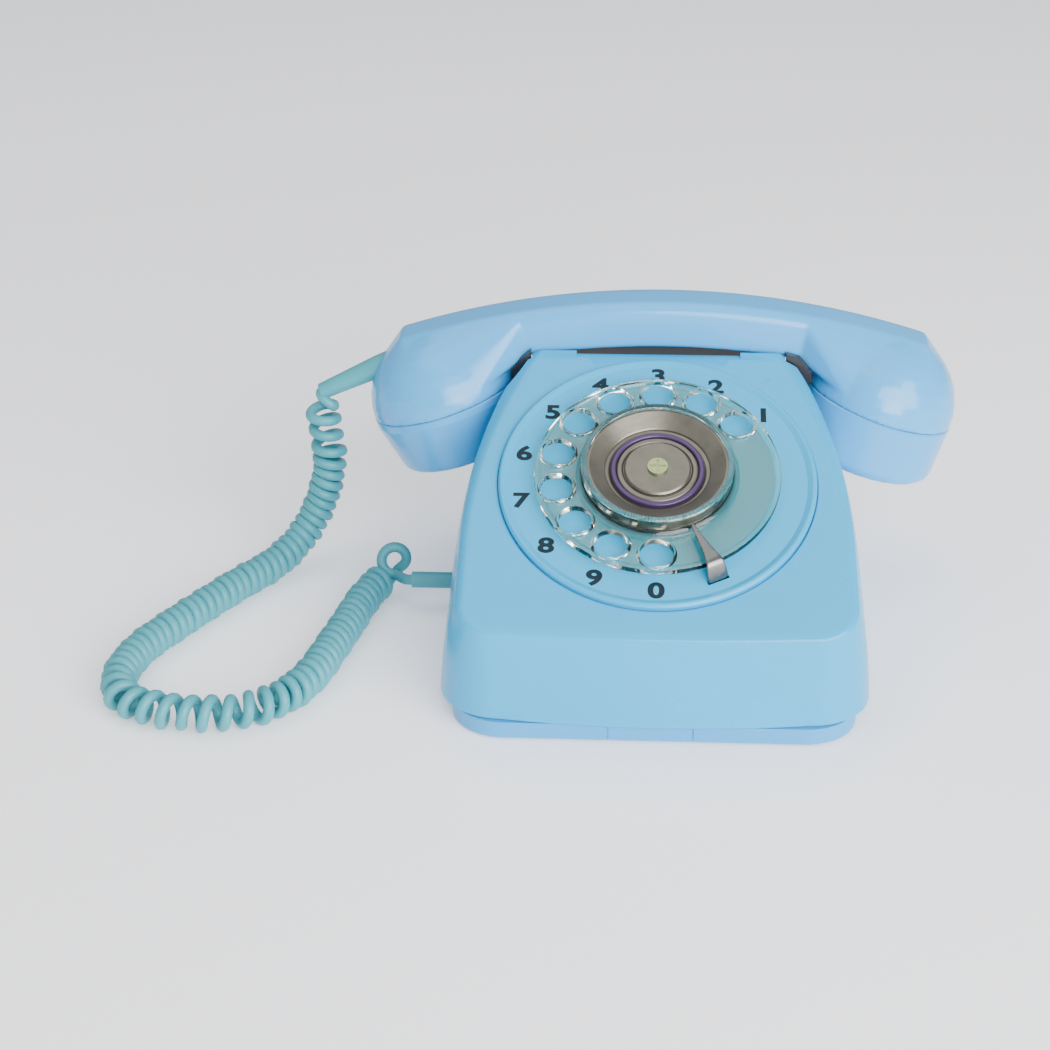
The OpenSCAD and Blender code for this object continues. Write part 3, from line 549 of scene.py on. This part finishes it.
def open_cylinder(side, radius, bottom, height, place):
    """A round well that is open to the rear and outwards."""
    outline = []
    for k in range(65):
        a = math.pi + math.pi * k / 64
        outline.append((radius * math.cos(a), radius * math.sin(a)))
    right = radius + (WELL_OUT if side > 0 else 0)
    left = -radius - (0 if side > 0 else WELL_OUT)
    outline += [(right, 0), (right, WELL_BACK), (left, WELL_BACK), (left, 0)]
    outline = [p for i, p in enumerate(outline)
               if i == 0 or (Vector(p) - Vector(outline[i - 1])).length > 1e-4]
    if (Vector(outline[0]) - Vector(outline[-1])).length < 1e-4:
        outline.pop()
    return prism("well", outline, bottom, bottom + height, place)


def cut_hollows(piece, grow):
    """Cuts the wells in which the cups hang, and the pockets of the cradle hook's horns."""
    radius = CUP_RADIUS + HOLLOW_GAP + grow
    depth = CAP_HEIGHT + HOLLOW_GAP + grow
    for side in (-1, 1):
        cut(piece, open_cylinder(side, radius, -depth, depth, at_cup(side)))
        straight = move(HANDSET_SHIFT + side * (CUP_OFFSET - HOLLOW_LEAN), CUP_Y, CUP_Z)
        cut(piece, open_cylinder(side, radius, -HOLLOW_SEAM, 90, straight))
        margin = HORN_GAP + grow
        low_x, high_x = sorted((side * (HORN_INNER - margin), side * HORN_OUTER))
        pocket = [(low_x, HORN_FRONT - margin), (high_x, HORN_FRONT - margin), (high_x, HORN_BACK),
                  (low_x, HORN_BACK)]
        cut(piece, prism("horn_pocket", pocket, HORN_FLOOR - margin, 124))


PLATE_RECESS, PLATE_RADIUS, PLATE_GAP, PLATE_LEDGE = 1.2, 60, 0.35, 54.5
DIAL_OPENING = 54
NOTCH_HALF_WIDTH, NOTCH_FRONT, NOTCH_BACK, NOTCH_FLOOR = 32.5, 26, 38, 100.4
PLUNGER_X, PLUNGER_Y, PLUNGER_HOLE = 30, 45, 2.9
AT_CORD_HOLE, CORD_HOLE = move(-85, -2, 14) @ turn("Y", 90), 3.4
AT_LINE_HOLE, LINE_HOLE = move(24, 87, 16) @ turn("X", -90), 5.1


def drill(piece, radius, low, high, place, steps=32):
    """Cuts a round hole along the place's own axis, from height low to height high."""
    cut(piece, solid_turn("hole", [(0, low), (radius, low), (radius, high), (0, high)], steps, place))


def make_housing():
    piece = body_solid("moulded_housing", 0, FOOT_HEIGHT, CREST_ROUNDING)
    cavity = body_solid("cavity", WALL, FOOT_HEIGHT - 1, 0)
    cut(cavity, trough(WALL))
    cut_hollows(cavity, WALL)
    cut(piece, cavity)
    cut(piece, trough(0))
    cut_hollows(piece, 0)
    lip = PLATE_RADIUS + PLATE_GAP
    flare = rounded([(PLATE_LEDGE, -20, 0), (PLATE_LEDGE, -PLATE_RECESS, 0), (lip, -PLATE_RECESS, 0),
                     (lip, 0, 0.8), (lip + 8, 0, 0), (lip + 8, 12, 0), (30, 12, 0), (30, -20, 0)], 0, 6)
    cut(piece, revolve("dial_recess", flare, 192, AT_DIAL))
    drill(piece, DIAL_OPENING, -20, 12, AT_DIAL, 192)
    notch = [(-NOTCH_HALF_WIDTH, NOTCH_FRONT), (NOTCH_HALF_WIDTH, NOTCH_FRONT),
             (NOTCH_HALF_WIDTH, NOTCH_BACK), (-NOTCH_HALF_WIDTH, NOTCH_BACK)]
    cut(piece, prism("notch", notch, NOTCH_FLOOR, 130))
    for side in (-1, 1):
        drill(piece, PLUNGER_HOLE, 80, 100, move(side * PLUNGER_X, PLUNGER_Y, 0))
    drill(piece, CORD_HOLE, 0, 14, AT_CORD_HOLE)
    drill(piece, LINE_HOLE, 0, 20, AT_LINE_HOLE)
    smooth_shade(piece, 28)
    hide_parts("housing")
    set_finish(piece, "blue_shell")
    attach(piece, "telephone")


# ---------------------------------------------------------------- handset
ARCH_RADIUS, HANDLE_TOP, HANDLE_FRONT, HANDLE_DEPTH, HANDLE_THICKNESS = 336, 122, 31.8, 24.6, 20.5
HANDLE_HALF_ANGLE, HANDLE_STEPS = 18.3, 60
DOME_SHARE = 0.96
# Only what lies above this height takes part in the skins between the handle and the domes
JOIN_HEIGHT = 88
VOXEL = 0.8


def handle_section():
    """The handle's outline across: (back from the front face, up from the underside)."""
    return rounded([
        (0, 1, 3), (HANDLE_DEPTH, 1, 3), (HANDLE_DEPTH, 14, 6), (HANDLE_DEPTH - 7, HANDLE_THICKNESS, 6),
        (3, HANDLE_THICKNESS - 1.2, 3), (0, HANDLE_THICKNESS - 4.5, 3)], 3, 5)


def handle_ring(degrees):
    """The section carried round the arch to an angle from its middle."""
    a = math.radians(degrees)
    out = []
    for back, up in handle_section():
        r = ARCH_RADIUS - HANDLE_THICKNESS + up
        out.append(Vector((HANDSET_SHIFT + r * math.sin(a), HANDLE_FRONT + back,
                           HANDLE_TOP - ARCH_RADIUS + r * math.cos(a))))
    return out


def dome_points(side, least=-2.0, most=2.0):
    """Points on a cup's dome whose direction lies between least and most outwards."""
    place = at_cup(side)
    out = []
    for k in range(48):
        a = 2 * math.pi * k / 48
        if not least <= side * math.cos(a) <= most:
            continue
        for j in range(9):
            b = math.radians(10 * j)
            p = Vector((CUP_RADIUS * math.cos(a) * math.cos(b), CUP_RADIUS * math.sin(a) * math.cos(b),
                        CUP_RADIUS * math.sin(b) * DOME_SHARE))
            out.append((place @ (p * MM)) / MM)
    return out


def make_handset():
    rings = [handle_ring(-HANDLE_HALF_ANGLE + 2 * HANDLE_HALF_ANGLE * i / HANDLE_STEPS)
             for i in range(HANDLE_STEPS + 1)]
    count = len(rings[0])
    points = [p * MM for ring in rings for p in ring]
    faces = [(i * count + k, i * count + (k + 1) % count,
              (i + 1) * count + (k + 1) % count, (i + 1) * count + k)
             for i in range(HANDLE_STEPS) for k in range(count)]
    faces += [tuple(range(count)), tuple(HANDLE_STEPS * count + k for k in range(count))]
    parts = [mesh_piece("moulded_handset", points, faces)]
    for side in (-1, 1):
        parts.append(hull("dome", dome_points(side)))
        ends = [p for a in (13.6, 15.2, 16.8, 18.3) for p in handle_ring(side * a) if p.z > JOIN_HEIGHT]
        parts.append(hull("end", dome_points(side, least=0.3) + ends))
        inner = [p for p in dome_points(side, most=-0.55) if p.z > JOIN_HEIGHT]
        parts.append(hull("fairing", inner + handle_ring(side * 9.9) + handle_ring(side * 12)))
    piece = join(parts)
    apply_modifier(piece, "REMESH", mode="VOXEL", voxel_size=VOXEL * MM, adaptivity=0)
    apply_modifier(piece, "SMOOTH", factor=0.5, iterations=5)
    for side in (-1, 1):
        drill(piece, 60, -30, 0.25, at_cup(side), 64)
        bore = [(0, -2), (28, -2), (28, 6), (20, 6), (20, 13), (0, 13)]
        cut(piece, solid_turn("cup_bore", bore, 96, at_cup(side)))
    smooth_shade(piece, 40)
    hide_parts("handset_shell")
    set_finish(piece, "blue_handset")
    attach(piece, "handset")


# ---------------------------------------------------------------- dial
WHEEL_RADIUS, FINGER_CIRCLE = 46.4, 38.6
FIRST_HOLE, HOLE_STEP = 51.43, 360 / 14


def make_wheel():
    """The clear finger wheel, with a collar round the middle and a raised lip round each finger hole."""
    profile = rounded([
        (4, 3.2, 0), (WHEEL_RADIUS, 3.0, 0.6), (WHEEL_RADIUS, 5.8, 0.7), (WHEEL_RADIUS - 1.6, 5.7, 0.5),
        (WHEEL_RADIUS - 2.4, 5, 0.6), (30.4, 5, 1), (28.6, 6.6, 1), (28.6, 11.7, 0.8), (26.4, 11.7, 0.6),
        (26.4, 5.2, 0), (4, 5.2, 0)], 0.5, 6)
    piece = revolve("clear_finger_wheel", profile, 240, AT_DIAL)
    lip = rounded([(5.4, 3.1, 0), (7.5, 3.1, 0.3), (7.5, 5.4, 0.5), (6.9, 6.1, 0.5), (6.3, 6.1, 0.4),
                   (5.4, 5.4, 0)], 0.3, 5)
    bore = [(0, 1), (6.9, 1), (6.9, 2.6), (6.45, 3.2), (6.2, 3.6), (6.2, 5.5), (6.35, 6.0), (6.9, 6.6),
            (6.9, 9), (0, 9)]
    for i in range(10):
        place = AT_DIAL @ turn("Z", -(FIRST_HOLE - HOLE_STEP * i)) @ move(0, FINGER_CIRCLE, 0)
        cut(piece, revolve("lip", lip, 64, place), "UNION")
        cut(piece, solid_turn("bore", bore, 64, place))
    smooth_shade(piece, 35)
    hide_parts("finger_wheel")
    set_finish(piece, "clear_plastic")
    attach(piece, "dial")


STOP_ANGLE = 154.3
# Along the finger stop: distance from the dial's centre, height, half width, thickness
STOP_STATIONS = [
    (51.9, -3, 4.1, 1.3), (51.8, 1.2, 4.1, 1.3), (51.1, 3, 4, 1.3), (50.2, 5, 3.8, 1.3),
    (49.4, 6.5, 3.6, 1.3), (48.4, 7.6, 3.4, 1.3), (47.2, 8.1, 3.1, 1.2), (45.4, 8.2, 2.7, 1.2),
    (43, 8.1, 2.2, 1.2), (40, 7.9, 1.75, 1.1), (37, 7.7, 1.4, 1.1), (34, 7.7, 1.1, 1),
    (31.4, 7.9, 0.8, 0.9), (30.2, 8, 0.55, 0.8), (29.5, 8.1, 0.25, 0.5)]


def make_stop():
    """The finger stop: a leg in the plate's slot that leans in and bends into a horn over the wheel."""
    corners = [(1, 0.5), (0.82, 1), (-0.82, 1), (-1, 0.5), (-1, -0.5), (-0.82, -1), (0.82, -1), (1, -0.5)]
    points = []
    for i, (r, h, half, thick) in enumerate(STOP_STATIONS):
        before, after = STOP_STATIONS[max(i - 1, 0)], STOP_STATIONS[min(i + 1, len(STOP_STATIONS) - 1)]
        way = Vector((after[0] - before[0], after[1] - before[1])).normalized()
        points += [(x * half * MM, (r + y * thick / 2 * way.y) * MM, (h - y * thick / 2 * way.x) * MM)
                   for x, y in corners]
    last = (len(STOP_STATIONS) - 1) * 8
    faces = [(i + k, i + (k + 1) % 8, i + 8 + (k + 1) % 8, i + 8 + k)
             for i in range(0, last, 8) for k in range(8)]
    faces += [tuple(range(8)), tuple(last + k for k in range(8))]
    piece = mesh_piece("curved_finger_stop", points, faces)
    apply_modifier(piece, "SUBSURF", levels=2, render_levels=2)
    piece.data.transform(AT_DIAL @ turn("Z", -STOP_ANGLE))
    smooth_shade(piece, 50)
    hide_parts("finger_stop")
    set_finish(piece, "stop_chrome")
    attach(piece, "telephone")


def make_centre():
    """The dial's middle: a thin violet band in a dark groove, between the dish and the cap."""
    band = rounded([(15.6, 5.2, 0), (17.6, 5.2, 0), (17.6, 7.1, 0.5), (17.1, 7.4, 0.3), (16, 7.4, 0.4),
                    (15.6, 7, 0.3)], 0.3, 4)
    groove = rounded([(12.6, 5.1, 0), (19.6, 5.1, 0), (19.6, 6.2, 0), (18.4, 6, 0.4), (17.7, 5.6, 0),
                      (15.5, 5.6, 0), (15.4, 6.6, 0.3), (14.8, 7, 0.4), (13.4, 7, 0.4), (13, 6.4, 0.3),
                      (12.6, 6.4, 0)], 0.3, 4)
    rings = (("violet_band", band, "violet_enamel"), ("ring_groove", groove, "dull_steel"))
    for name, profile, slot in rings:
        piece = revolve(name, profile, 160, AT_DIAL)
        smooth_shade(piece, 35)
        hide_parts("centre_ring")
        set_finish(piece, slot)
        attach(piece, "dial")


NUMERAL_RADIUS, NUMERAL_SIZE, NUMERAL_STROKE, NUMERAL_HEIGHT = 52, 9.4, 0.36, 1.24
NUMERAL_WIDEN, NUMERAL_FLATTEN = 1.28, 0.2


def make_numerals():
    """The digits 1 to 0 on the plate, each centred beside its finger hole and pressed almost flat."""
    for i in range(10):
        digit = str((i + 1) % 10)
        data = bpy.data.curves.new("numeral_" + digit, "FONT")
        data.body = digit
        data.size = NUMERAL_SIZE * MM
        data.align_x = "CENTER"
        data.align_y = "CENTER"
        data.bevel_depth = NUMERAL_STROKE * MM
        data.bevel_resolution = 2
        data.extrude = 0.02 * MM
        text = bpy.data.objects.new("text", data)
        bpy.context.scene.collection.objects.link(text)
        bpy.context.view_layer.update()
        ready = text.evaluated_get(bpy.context.evaluated_depsgraph_get())
        mesh = bpy.data.meshes.new_from_object(ready)
        bpy.data.objects.remove(text)
        piece = bpy.data.objects.new("numeral_" + digit, mesh)
        bpy.context.scene.collection.objects.link(piece)
        angle = math.radians(FIRST_HOLE - HOLE_STEP * i)
        where = move(NUMERAL_RADIUS * math.sin(angle), NUMERAL_RADIUS * math.cos(angle), NUMERAL_HEIGHT)
        widen = Matrix.Diagonal((NUMERAL_WIDEN, 1, NUMERAL_FLATTEN, 1))
        co = np.array([tuple(v.co) for v in mesh.vertices])
        middle = (co.min(0) + co.max(0)) / 2
        mesh.transform(AT_DIAL @ where @ widen @ Matrix.Translation(-Vector(middle)))
        piece.data.materials.clear()
        piece.data.materials.append(MATERIALS["ink"])
        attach(piece, "telephone")


# ---------------------------------------------------------------- materials
MATERIALS = {}


def node_material(name, color, roughness=0.3, metallic=0.0, mottle=0.04, mottle_scale=60, bump=0.02,
                  bump_scale=900, rough_spread=0.06, **sockets):
    """A surface with mottling, uneven gloss and fine relief, worked out in the object's own space."""
    material = bpy.data.materials.new(name)
    material.use_nodes = True
    tree = material.node_tree
    shader = tree.nodes["Principled BSDF"]
    place = tree.nodes.new("ShaderNodeTexCoord")
    broad = tree.nodes.new("ShaderNodeTexNoise")
    broad.inputs["Scale"].default_value = mottle_scale
    broad.inputs["Detail"].default_value = 4
    fine = tree.nodes.new("ShaderNodeTexNoise")
    fine.inputs["Scale"].default_value = bump_scale
    fine.inputs["Detail"].default_value = 3
    for noise in (broad, fine):
        tree.links.new(place.outputs["Object"], noise.inputs["Vector"])
    tint = tree.nodes.new("ShaderNodeMix")
    tint.data_type = "RGBA"
    tint.inputs["A"].default_value = tuple(max(0, c * (1 - mottle)) for c in color) + (1,)
    tint.inputs["B"].default_value = tuple(min(1, c * (1 + mottle)) for c in color) + (1,)
    tree.links.new(broad.outputs["Fac"], tint.inputs["Factor"])
    tree.links.new(tint.outputs["Result"], shader.inputs["Base Color"])
    gloss = tree.nodes.new("ShaderNodeMapRange")
    gloss.inputs["To Min"].default_value = max(0.0, roughness - rough_spread)
    gloss.inputs["To Max"].default_value = min(1.0, roughness + rough_spread)
    tree.links.new(broad.outputs["Fac"], gloss.inputs["Value"])
    tree.links.new(gloss.outputs["Result"], shader.inputs["Roughness"])
    relief = tree.nodes.new("ShaderNodeBump")
    relief.inputs["Strength"].default_value = bump
    relief.inputs["Distance"].default_value = 0.0004
    tree.links.new(fine.outputs["Fac"], relief.inputs["Height"])
    tree.links.new(relief.outputs["Normal"], shader.inputs["Normal"])
    shader.inputs["Metallic"].default_value = metallic
    for key, value in sockets.items():
        shader.inputs[key.replace("_", " ").title().replace("Ior", "IOR")].default_value = value
    MATERIALS[name] = material


def make_materials():
    node_material("blue_shell", (0.004, 0.345, 0.640), 0.26, mottle=0.03, mottle_scale=25, bump=0.03,
                  specular_ior_level=0.35, coat_weight=0.12, coat_roughness=0.08)
    node_material("blue_tray", (0.030, 0.310, 0.640), 0.3, mottle=0.04, mottle_scale=40)
    node_material("blue_plate", (0.006, 0.360, 0.650), 0.3, mottle=0.025, mottle_scale=50,
                  specular_ior_level=0.35)
    node_material("blue_handset", (0.050, 0.350, 0.710), 0.22, mottle=0.04, mottle_scale=22,
                  specular_ior_level=0.4, coat_weight=0.2, coat_roughness=0.06)
    node_material("teal_cord", (0.045, 0.290, 0.340), 0.45, mottle=0.1, mottle_scale=70, bump=0.08,
                  bump_scale=1500)
    node_material("clear_plastic", (0.95, 0.94, 0.78), 0.07, mottle=0.02, bump=0.01, rough_spread=0.03,
                  transmission_weight=1.0, ior=1.49)
    node_material("dull_steel", (0.17, 0.16, 0.13), 0.36, metallic=0.85, mottle=0.3, mottle_scale=140,
                  bump=0.1)
    node_material("violet_enamel", (0.06, 0.035, 0.10), 0.3, metallic=0.4, mottle=0.2, mottle_scale=140)
    node_material("screw_brass", (0.36, 0.42, 0.20), 0.35, metallic=0.8, mottle=0.2, mottle_scale=600)
    # The finger stop's dark grey base colour is a painted reflection: it stands in for the dark
    # surroundings the polished stop mirrors, and is darker than bright chrome.
    node_material("stop_chrome", (0.17, 0.175, 0.17), 0.27, metallic=1.0, mottle=0.12, mottle_scale=200)
    node_material("bright_steel", (0.55, 0.56, 0.57), 0.32, metallic=1.0, mottle=0.1, mottle_scale=200)
    node_material("spring_steel", (0.40, 0.41, 0.43), 0.35, metallic=1.0, mottle=0.1, mottle_scale=200)
    node_material("bearing_brass", (0.70, 0.52, 0.24), 0.3, metallic=1.0, mottle=0.12, mottle_scale=200)
    node_material("contact_brass", (0.66, 0.54, 0.30), 0.35, metallic=1.0, mottle=0.12, mottle_scale=200)
    node_material("gong_brass", (0.68, 0.50, 0.22), 0.25, metallic=1.0, mottle=0.15, mottle_scale=90)
    node_material("coil_wrap", (0.28, 0.12, 0.06), 0.5, mottle=0.2, mottle_scale=300, bump=0.2)
    node_material("board_laminate", (0.08, 0.28, 0.14), 0.45, mottle=0.15, mottle_scale=200)
    node_material("capacitor_case", (0.75, 0.36, 0.07), 0.3, mottle=0.08)
    node_material("terminal_plastic", (0.80, 0.75, 0.62), 0.45, mottle=0.05)
    node_material("black_plastic", (0.014, 0.015, 0.018), 0.3, mottle=0.2, mottle_scale=120)
    node_material("foot_rubber", (0.03, 0.03, 0.032), 0.75, mottle=0.2, mottle_scale=300, bump=0.2)
    node_material("capsule_alloy", (0.60, 0.61, 0.62), 0.35, metallic=1.0, mottle=0.1, mottle_scale=200)
    node_material("ink", (0.006, 0.016, 0.024), 0.5, mottle=0.2, mottle_scale=700, specular_ior_level=0.2)


def dress():
    """Gives each CAD node and each visible piece the material of its slot."""
    slots = {row["node"]: row["material_slot"] for row in frame["record"]["subparts"]}
    for name, node in nodes.items():
        node.data.materials.clear()
        node.data.materials.append(MATERIALS[slots[name]])
    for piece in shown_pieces():
        if "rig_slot" in piece:
            piece.data.materials.clear()
            piece.data.materials.append(MATERIALS[piece["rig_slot"]])


# ---------------------------------------------------------------- floor and light
def area_light(name, where, target, width, height, power):
    data = bpy.data.lights.new(name, "AREA")
    data.shape = "RECTANGLE"
    data.size, data.size_y = width, height
    data.energy = power
    light = bpy.data.objects.new(name, data)
    light.location = where
    light.rotation_mode = "QUATERNION"
    light.rotation_quaternion = (Vector(target) - Vector(where)).to_track_quat("-Z", "Y")
    bpy.context.scene.collection.objects.link(light)


def make_studio():
    bpy.ops.mesh.primitive_plane_add(size=12, location=(0, 0, 0))
    floor = bpy.context.object
    floor.name = "floor"
    material = bpy.data.materials.new("floor")
    material.use_nodes = True
    shader = material.node_tree.nodes["Principled BSDF"]
    shader.inputs["Base Color"].default_value = (0.93, 0.93, 0.95, 1)
    shader.inputs["Roughness"].default_value = 0.6
    shader.inputs["Emission Color"].default_value = (0.96, 0.97, 1, 1)
    shader.inputs["Emission Strength"].default_value = 0.35
    floor.data.materials.append(material)
    world = bpy.data.worlds.new("world")
    bpy.context.scene.world = world
    world.use_nodes = True
    world.node_tree.nodes["Background"].inputs["Color"].default_value = (0.93, 0.95, 1.0, 1)
    world.node_tree.nodes["Background"].inputs["Strength"].default_value = 0.7
    area_light("top", (-0.2, 0.1, 1.3), (0, 0, 0), 1.4, 1.1, 7)
    area_light("front", (0.8, -1.3, 0.75), (0, 0, 0.05), 1.8, 1.2, 66)
    area_light("window", (0.42, -0.95, 0.30), (0.03, -0.08, 0.04), 0.30, 0.26, 1.6)


make_camera()
make_materials()
make_cord()
make_housing()
make_handset()
make_wheel()
make_stop()
make_centre()
make_numerals()
dress()
make_studio()
